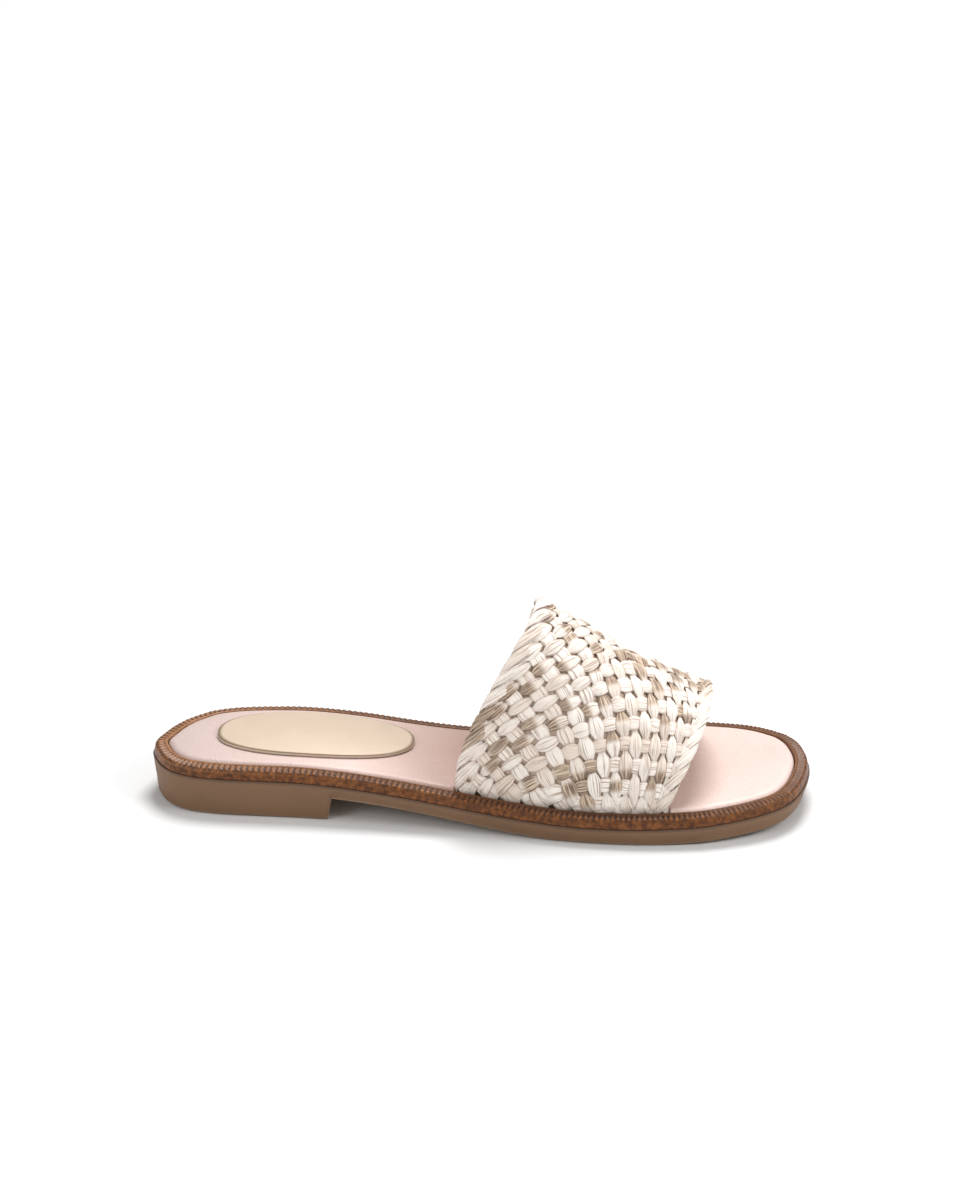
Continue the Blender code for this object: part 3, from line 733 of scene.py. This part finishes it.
def ribbon(bm, layers, u, s, lift, half_width, thick, seed, dye, foot):
    """One strand laid on the band along (u, s): a grid rolled into a flat crowned tube whose width follows the
    band, also round its edges, with shallow folds along its back."""
    n, m = len(u), STRAND_SECTION
    fold = np.random.default_rng(seed)
    folds, shift = 1.0 + 0.07 * fold.uniform(-1, 1, m), fold.uniform(0, 6.28)
    ridges, tint = fold.uniform(8.0, 11.0), fold.uniform(0, 1)
    centre = on_band(u, s, lift)
    along = np.concatenate([[0.0], np.cumsum(np.linalg.norm(np.diff(centre, axis=0), axis=1))])
    step = 0.01     # share across, over which the band's width is measured
    inner = np.clip(u, 2 * step, 1 - 2 * step)
    scale = np.linalg.norm(on_band(inner + step, s, lift) - on_band(inner - step, s, lift), axis=1) / (2 * step)
    go_u, go_s = np.gradient(u) * scale, np.gradient(s)
    size = np.hypot(go_u, go_s)
    side_u, side_s = go_s / size / scale, -go_u / size
    angle = 2 * math.pi * np.arange(m + 1) / m
    x = np.sign(np.cos(angle)) * np.abs(np.cos(angle))**0.92
    z = np.sin(angle)
    z = np.sign(z) * np.abs(z)**0.78 * np.where(z > 0, 1.0, 0.72) * np.append(folds, folds[0])
    sway = 0.35 * np.sin(FOLD_SWAY * along)[:, None]
    crease = np.where(np.sin(angle) > 0.2, FOLD_DEPTH, 0.0) * np.sin(ridges * x + shift + sway)
    across = half_width[:, None] * x
    skin = on_band((u[:, None] + side_u[:, None] * across).ravel(), (s[:, None] + side_s[:, None] * across).ravel(),
                   (lift[:, None] + thick[:, None] / 2 * (z + crease)).ravel())
    for v in bmesh.ops.create_grid(bm, x_segments=n - 1, y_segments=m, size=1.0)["verts"]:
        k, j = round((v.co.x + 1) / 2 * (n - 1)), round((v.co.y + 1) / 2 * m)
        v.co = skin[k * (m + 1) + j]
        for layer, value in zip(layers, (x[j], along[k], dye[k], tint, foot[k])):
            v[layer] = value


def close_tubes(bm):
    """Join each strand's long edges and fill its two ends."""
    bmesh.ops.remove_doubles(bm, verts=bm.verts[:], dist=1e-7)
    bmesh.ops.holes_fill(bm, edges=[e for e in bm.edges if e.is_boundary], sides=0)


# Dyed lengths charted on the outer side: strand, middle and length in columns.
DYED = {
    RISING: (
        (-3, 1.8, 1.2), (-4, 1.8, 1.3), (-3, 3.5, 0.8), (-4, 3.6, 1.0), (-3, 0.2, 1.2), (-4, 0.3, 1.2), (-7, 4.0, 1.2),
        (-8, 5.7, 1.3), (-7, 5.6, 1.0), (-8, 7.4, 1.1), (-7, 7.5, 0.9), (-4, 5.4, 0.7), (-8, 9.5, 0.8),
        (-11, 11.9, 1.1), (-12, 12.0, 1.2), (-11, 10.0, 1.0), (-11, 8.1, 0.7), (-8, 4.2, 0.7), (-8, 18.1, 0.9),
        (-5, 12.0, 0.8), (-4, 7.8, 0.7), (-7, 1.5, 0.5), (1, 1.7, 0.6), (2, 1.8, 0.5), (-1, 4.2, 0.5), (-1, 6.0, 0.5),
        (-3, 8.0, 0.6), (-5, 18.0, 0.6), (-6, 19.9, 0.8),
    ),
    FALLING: (
        (3, 8.5, 0.5), (4, 8.3, 0.6), (11, 19.6, 0.8), (10, 16.5, 0.8), (11, 16.8, 0.8), (8, 14.8, 0.8), (7, 14.6, 0.8),
        (7, 13.0, 1.0), (8, 13.4, 0.8), (6, 11.3, 0.8), (4, 10.6, 0.7), (3, 10.7, 0.7), (4, 12.5, 0.7), (8, 16.6, 0.7),
        (4, 15.6, 0.7), (7, 18.6, 0.7), (8, 19.5, 0.7), (3, 12.6, 0.6), (3, 15.0, 0.4), (0, 12.6, 0.7), (-1, 11.0, 0.7),
        (0, 11.6, 0.7), (3, 5.0, 0.5), (10, 15.0, 0.8), (12, 17.0, 0.9), (15, 20.8, 0.7), (13, 19.0, 0.5),
        (16, 21.0, 0.5),
    ),
}
INNER_DYED = 0.15       # share of the floats dyed on the inner side, which isn't in the photograph
INNER_FROM = 0.010      # run from the apex where the inner side starts


def dyed_length(stain, d, at, span):
    """Add one dyed length, its middle and length in columns, soft at both ends."""
    return np.maximum(stain, ease_all((0.40 * span + 0.42 - np.abs(d - at)) / 0.62))


def dye_along(family, index, d, s):
    """Share of taupe dye on a strand at columns d and runs s."""
    stain = np.zeros(len(d))
    for row, at, span in DYED[family]:
        if row == index:
            stain = dyed_length(stain, d, at, span)
    chance = np.random.default_rng(7000 + 90 * index + family).uniform(0, 1, (24, 3))
    for column in range(23):
        if chance[column, 0] < INNER_DYED:
            at, span = column + 0.8 * (chance[column, 1] - 0.5), 0.5 + 0.8 * chance[column, 2]
            if np.interp(at, d, s) > INNER_FROM:
                stain = dyed_length(stain, d, at, span)
    return stain


def raffia():
    material, tree, shader = start_finish("raffia")
    across, along, dye, tint, foot = (read_mark(tree, name) for name in STRAND_MARKS)
    stretch = [reckon(tree, "MULTIPLY", mark, times) for mark, times in ((across, 3.9), (along, 42.0), (tint, 37.0))]
    lay = put(tree, "ShaderNodeCombineXYZ", X=stretch[0], Y=stretch[1], Z=stretch[2]).outputs[0]
    fibre = put(tree, "ShaderNodeTexNoise", Vector=lay, Scale=1.6, Detail=4.0, Roughness=0.62).outputs["Fac"]
    thread = put(tree, "ShaderNodeTexNoise", Vector=lay, Scale=5.5, Detail=3.0, Roughness=0.6).outputs["Fac"]
    line = mask(tree, fibre, [(0.38, 1.0), (0.47, 0.0)])
    cream = ramp(tree, tint, [(0.0, tone(240, 228, 217)), (0.5, tone(250, 241, 232)), (1.0, tone(226, 210, 196))])
    colour = mix(tree, reckon(tree, "MULTIPLY", line, 0.80), cream, tone(158, 126, 100))
    uneven = reckon(tree, "MULTIPLY", reckon(tree, "SUBTRACT", fibre, 0.68), 3.0)
    streak = reckon(tree, "ADD", reckon(tree, "MULTIPLY", dye, 1.9), uneven)
    taken = put(tree, "ShaderNodeClamp", Value=streak).outputs[0]
    stained = ramp(tree, fibre, [(0.42, tone(86, 56, 32)), (0.50, tone(140, 108, 76)), (0.60, tone(220, 198, 170))])
    colour = mix(tree, reckon(tree, "MULTIPLY", taken, 0.86), colour, stained)
    # painted shade: each strand darkened along its long edges, standing in for the shade in the crevices between
    # strands
    edge = mask(tree, reckon(tree, "ABSOLUTE", across), [(0.80, 0.0), (0.98, 1.0)])
    colour = mix(tree, reckon(tree, "MULTIPLY", edge, 0.42), colour, tone(146, 112, 82))
    # painted shade darkens the strands at their feet, where they go down into the joint by the welt
    colour = mix(tree, mask(tree, foot, [(0.0, 0.0), (1.0, 1.0)]), colour, tone(62, 42, 28))
    shine = reckon(tree, "ADD", 0.30, reckon(tree, "MULTIPLY", thread, 0.20))
    height = reckon(tree, "ADD", fibre, reckon(tree, "MULTIPLY", thread, 0.35))
    finish(tree, shader, height, 0.90, 0.00030, Base_Color=colour, Roughness=shine,
           Coat_Weight=0.25, Coat_Roughness=0.28, Sheen_Weight=0.05)
    return material


RAFFIA = raffia()


JOINT_DEPTH = 0.0036    # the feet go this far down between footbed and welt
SHORTEST = 5            # fewest stations of a strand
EDGE_SINK = 0.0005      # the strands sink this far under the turned ends
FOOT_FULL = 1.10        # share of the pitch that a strand fills near the feet, so that no gap shows
FOOT_FULL_BELOW = 0.0110


def foot_room(u, s):
    """Run along the band to the nearer of its two feet."""
    rows = np.linspace(0, 1, BAND_ROWS)
    inside = np.clip(u, 0, 1)
    left = s + np.interp(inside, rows, BAND_APEX)
    right = np.interp(inside, rows, BAND_LENGTH) - left
    return np.minimum(left, right)


def root_shade(room):
    """Painted shade where the feet go down into the joint."""
    return ease_all((JOINT_DEPTH - room) / 0.0005)


def weave(family):
    """All strands of one direction as one piece."""
    bm = bmesh.new()
    layers = [bm.verts.layers.float.new(name) for name in STRAND_MARKS]
    d = np.linspace(0.15, COLUMNS - 0.15, round((COLUMNS - 0.3) * STATIONS) + 1)
    for index in range(-26, 34):
        seed = 5000 + 100 * index + 13 * family
        wander = hand_spread(seed + 1, d, 0.035)
        u, s, phase = strand_path(family, index, d, wander)
        room = foot_room(u, s)
        keep = room > 0.0004    # ends clear of the outsole
        if keep.sum() < SHORTEST:
            continue
        runs = np.flatnonzero(np.diff(np.concatenate([[0], keep.astype(int), [0]])))
        for first, last in zip(runs[::2], runs[1::2]):
            if last - first < SHORTEST:
                continue
            cut = slice(first, last)
            tuck = ease_all((room[cut] - JOINT_DEPTH) / 0.0034)     # 0 in the joint, 1 on the open band
            steep = steepness(family, d[cut])
            top = np.clip(phase[cut], 0, 1)
            swell = 0.60 + 0.60 * steep + hand_spread(seed + 2, d[cut], 0.07)
            lift = LIFT * tuck + WAVE * phase[cut] * (0.25 + 0.75 * tuck) * np.where(phase[cut] > 0, swell, 1.0)
            lift -= EDGE_SINK * ease_all((0.072 - np.minimum(u[cut], 1.0 - u[cut])) / 0.03)
            here, there = on_band(u[cut], s[cut], lift), strand_path(family, index + 1, d)
            ahead = np.gradient(here, axis=0)
            ahead /= np.linalg.norm(ahead, axis=1)[:, None]
            near = on_band(there[0][cut], there[1][cut], lift) - here
            near -= ahead * np.sum(near * ahead, axis=1)[:, None]
            spread = np.minimum(np.linalg.norm(near, axis=1) / 2, STRAND_WIDEST)
            pointed = 0.54 + 0.64 * top**0.62
            narrow = 0.67 + 0.05 * top**2
            shape = pointed * steep + narrow * (1 - steep)
            shape += np.maximum(FOOT_FULL - shape, 0.0) * ease_all((FOOT_FULL_BELOW - room[cut]) / 0.004)
            width = spread * shape * (1.0 + hand_spread(seed + 3, d[cut], 0.05))
            thick = STRAND_THICK * (0.78 + 0.34 * top * (0.6 + 0.4 * steep)) * (0.55 + 0.45 * tuck)
            dye = dye_along(family, index, d[cut], s[cut])
            ribbon(bm, layers, u[cut], s[cut], lift, width, thick, seed, dye, root_shade(room[cut]))
    close_tubes(bm)
    name = "rising_strands" if family == RISING else "falling_strands"
    return add_piece(name, bm, RAFFIA, "upper" if family == RISING else None, crease=75.0)


weave(RISING)
weave(FALLING)


TURNED_DYED_REAR = (-7, -6, 2, 7)    # ends that are dyed, counted along the band
TURNED_DYED_FRONT = (0, 4, 7)
TURNED_HALF_WIDTH = 0.00208
TURNED_THICK = 0.0011
TURNED_LIFT = 0.00125                # the ends lie this far outside the band's middle


def turned_ends(front):
    """Slanting ends turned over one edge of the band to the inside."""
    bm = bmesh.new()
    layers = [bm.verts.layers.float.new(name) for name in STRAND_MARKS]
    t = np.linspace(0.0, 1.0, 30)
    half = math.pi * EDGE_RADIUS / BAND_WIDTH
    begin, climbed, ahead = (0.925, 2.5, 0.1) if front else (0.072, -2.6, 1.2)   # share across, and rows
    for index in range(-13, 14):
        chance = np.random.default_rng(9000 + 40 * index + front).uniform(-1, 1, 6)
        rows = index + ROW_SHIFT + ahead + 0.10 * chance[0] + climbed * (1 + 0.12 * chance[1]) * t
        s = rows * ROW_PITCH
        reach = (1.0 - begin if front else begin) + 1.5 * half
        u = begin + (reach if front else -reach) * t**1.1
        room = foot_room(u, s)
        keep = room > 0.0008
        if keep.sum() < 8:
            continue
        first, last = np.flatnonzero(keep)[[0, -1]]
        cut = slice(first, last + 1)
        tuck = ease_all((room[cut] - 0.0045) / 0.004)
        sunk = 0.0015 * (1 - ease_all(t[cut] / 0.20)) + 0.0003 * ease_all((t[cut] - 0.5) / 0.3)
        lift = (TURNED_LIFT - sunk) * (0.35 + 0.65 * tuck)
        tapered = 0.40 + 0.60 * np.sin(math.pi * np.clip(t[cut] * 1.15 + 0.02, 0, 1))**0.5
        width = (TURNED_HALF_WIDTH + 0.0002 * chance[2]) * tapered
        dye, thick = np.zeros(last + 1 - first), np.full(last + 1 - first, TURNED_THICK)
        if index in (TURNED_DYED_FRONT if front else TURNED_DYED_REAR):
            dye = ease_all((0.36 - np.abs(t[cut] - 0.40)) / 0.12)
        seed = 900 + index + (50 if front else 0)
        ribbon(bm, layers, u[cut], s[cut], lift, width, thick, seed, dye, root_shade(room[cut]))
    close_tubes(bm)
    return add_piece("front_turned_ends" if front else "rear_turned_ends", bm, RAFFIA, crease=75.0)


turned_ends(False)
turned_ends(True)


def lining_cloth():
    material, tree, shader = start_finish("lining_cloth")
    grain = grained(tree, Colour=tone(226, 204, 186), Dark=tone(196, 168, 146), Mottle_Scale=80.0, Mottle=0.2,
                    Grain_Scale=1600.0, Grain=0.5, Rough=0.75, Rough_Spread=0.15)
    finish(tree, shader, grain["Height"], 0.5, 0.0002, Base_Color=grain["Colour"], Roughness=grain["Roughness"],
           Sheen_Weight=0.2)
    return material


LINING_BEHIND = 0.00062  # the lining's face behind the band's middle
LINING_THICK = 0.00035
LINING_INSIDE = 0.0075   # share left free at each edge of the band
LINING_SHORT = 0.004     # share left free at each foot


def lining():
    """Thin lining glued behind the weave, from foot to foot."""
    bm = bmesh.new()
    made = bmesh.ops.create_grid(bm, x_segments=160, y_segments=30, size=1.0)["verts"]
    along = np.array([(v.co.x + 1) / 2 for v in made])
    u = np.array([(v.co.y + 1) / 2 for v in made]) * (1 - 2 * LINING_INSIDE) + LINING_INSIDE
    rows = np.linspace(0, 1, BAND_ROWS)
    kept = LINING_SHORT + (1 - 2 * LINING_SHORT) * along
    s = kept * np.interp(u, rows, BAND_LENGTH) - np.interp(u, rows, BAND_APEX)
    for v, co in zip(made, on_band(u, s, np.full(len(u), -LINING_BEHIND))):
        v.co = co
    bmesh.ops.recalc_face_normals(bm, faces=bm.faces[:])
    bmesh.ops.solidify(bm, geom=bm.faces[:], thickness=LINING_THICK)
    return add_piece("lining", bm, lining_cloth())


lining()


# Studio. A pale floor that runs back without an edge, painted greyer round the shoe and brighter further off to stand
# in for the light's fall-off, soft light from above and both sides, and the camera at the photograph's place: 3 degrees
# from square to the side and 23.5 degrees above the floor.
def studio_floor():
    bm = bmesh.new()
    bmesh.ops.create_grid(bm, x_segments=1, y_segments=1, size=6.0)
    mesh = bpy.data.meshes.new("studio_floor")
    bm.to_mesh(mesh)
    bm.free()
    material, tree, shader = start_finish("studio_paper")
    distance = put(tree, "ShaderNodeVectorMath", {"operation": "LENGTH"}, i0=own_place(tree)).outputs["Value"]
    away = put(tree, "ShaderNodeMapRange", Value=distance, From_Min=0.15, From_Max=0.36).outputs["Result"]
    # painted light: the floor is greyer round the shoe and painted brighter further off, in place of the light's
    # fall-off with distance
    floor_painted_light = ramp(tree, away, [(0.0, tone(221, 221, 221)), (1.0, tone(254, 254, 254))])
    feed(tree, shader.inputs["Base Color"], floor_painted_light)
    feed(tree, shader.inputs["Roughness"], 0.9)
    mesh.materials.append(material)
    floor = bpy.data.objects.new("studio_floor", mesh)
    bpy.context.scene.collection.objects.link(floor)


studio_floor()


def softbox(name, place, target, size, power):
    lamp = bpy.data.lights.new(name, "AREA")
    lamp.shape, lamp.size, lamp.energy = "DISK", size, power
    holder = bpy.data.objects.new(name, lamp)
    holder.location = place
    holder.rotation_euler = (Vector(target) - Vector(place)).to_track_quat("-Z", "Y").to_euler()
    bpy.context.scene.collection.objects.link(holder)


softbox("overhead", (0.12, 0.56, 1.30), (0, 0, 0), 0.7, 19.5)
softbox("left_front", (-1.1, -0.9, 0.8), (0, 0, 0.03), 0.7, 6.6)
softbox("toe_side", (1.1, -0.4, 0.9), (0, 0, 0.03), 0.7, 9.0)
sky = bpy.data.worlds.new("studio_sky")
sky.use_nodes = True
light = sky.node_tree.nodes["Background"].inputs
light["Color"].default_value, light["Strength"].default_value = (1, 1, 1, 1), 0.42
bpy.context.scene.world = sky
bpy.context.scene.view_settings.view_transform = "Standard"

TURN, RISE, DISTANCE = math.radians(3.314), math.radians(23.5), 1.5
TARGET = Vector((0.000973, 0.0, 0.0798))
back = Vector((math.sin(TURN) * math.cos(RISE), -math.cos(TURN) * math.cos(RISE), math.sin(RISE)))
view = bpy.data.cameras.new("camera")
view.lens, view.sensor_width, view.sensor_fit = 120.24, 36.0, "AUTO"
view.clip_start, view.clip_end = 0.05, 50.0
camera = bpy.data.objects.new("camera", view)
camera.location = TARGET + back * DISTANCE
camera.rotation_euler = back.to_track_quat("Z", "Y").to_euler()
bpy.context.scene.collection.objects.link(camera)
bpy.context.scene.camera = camera
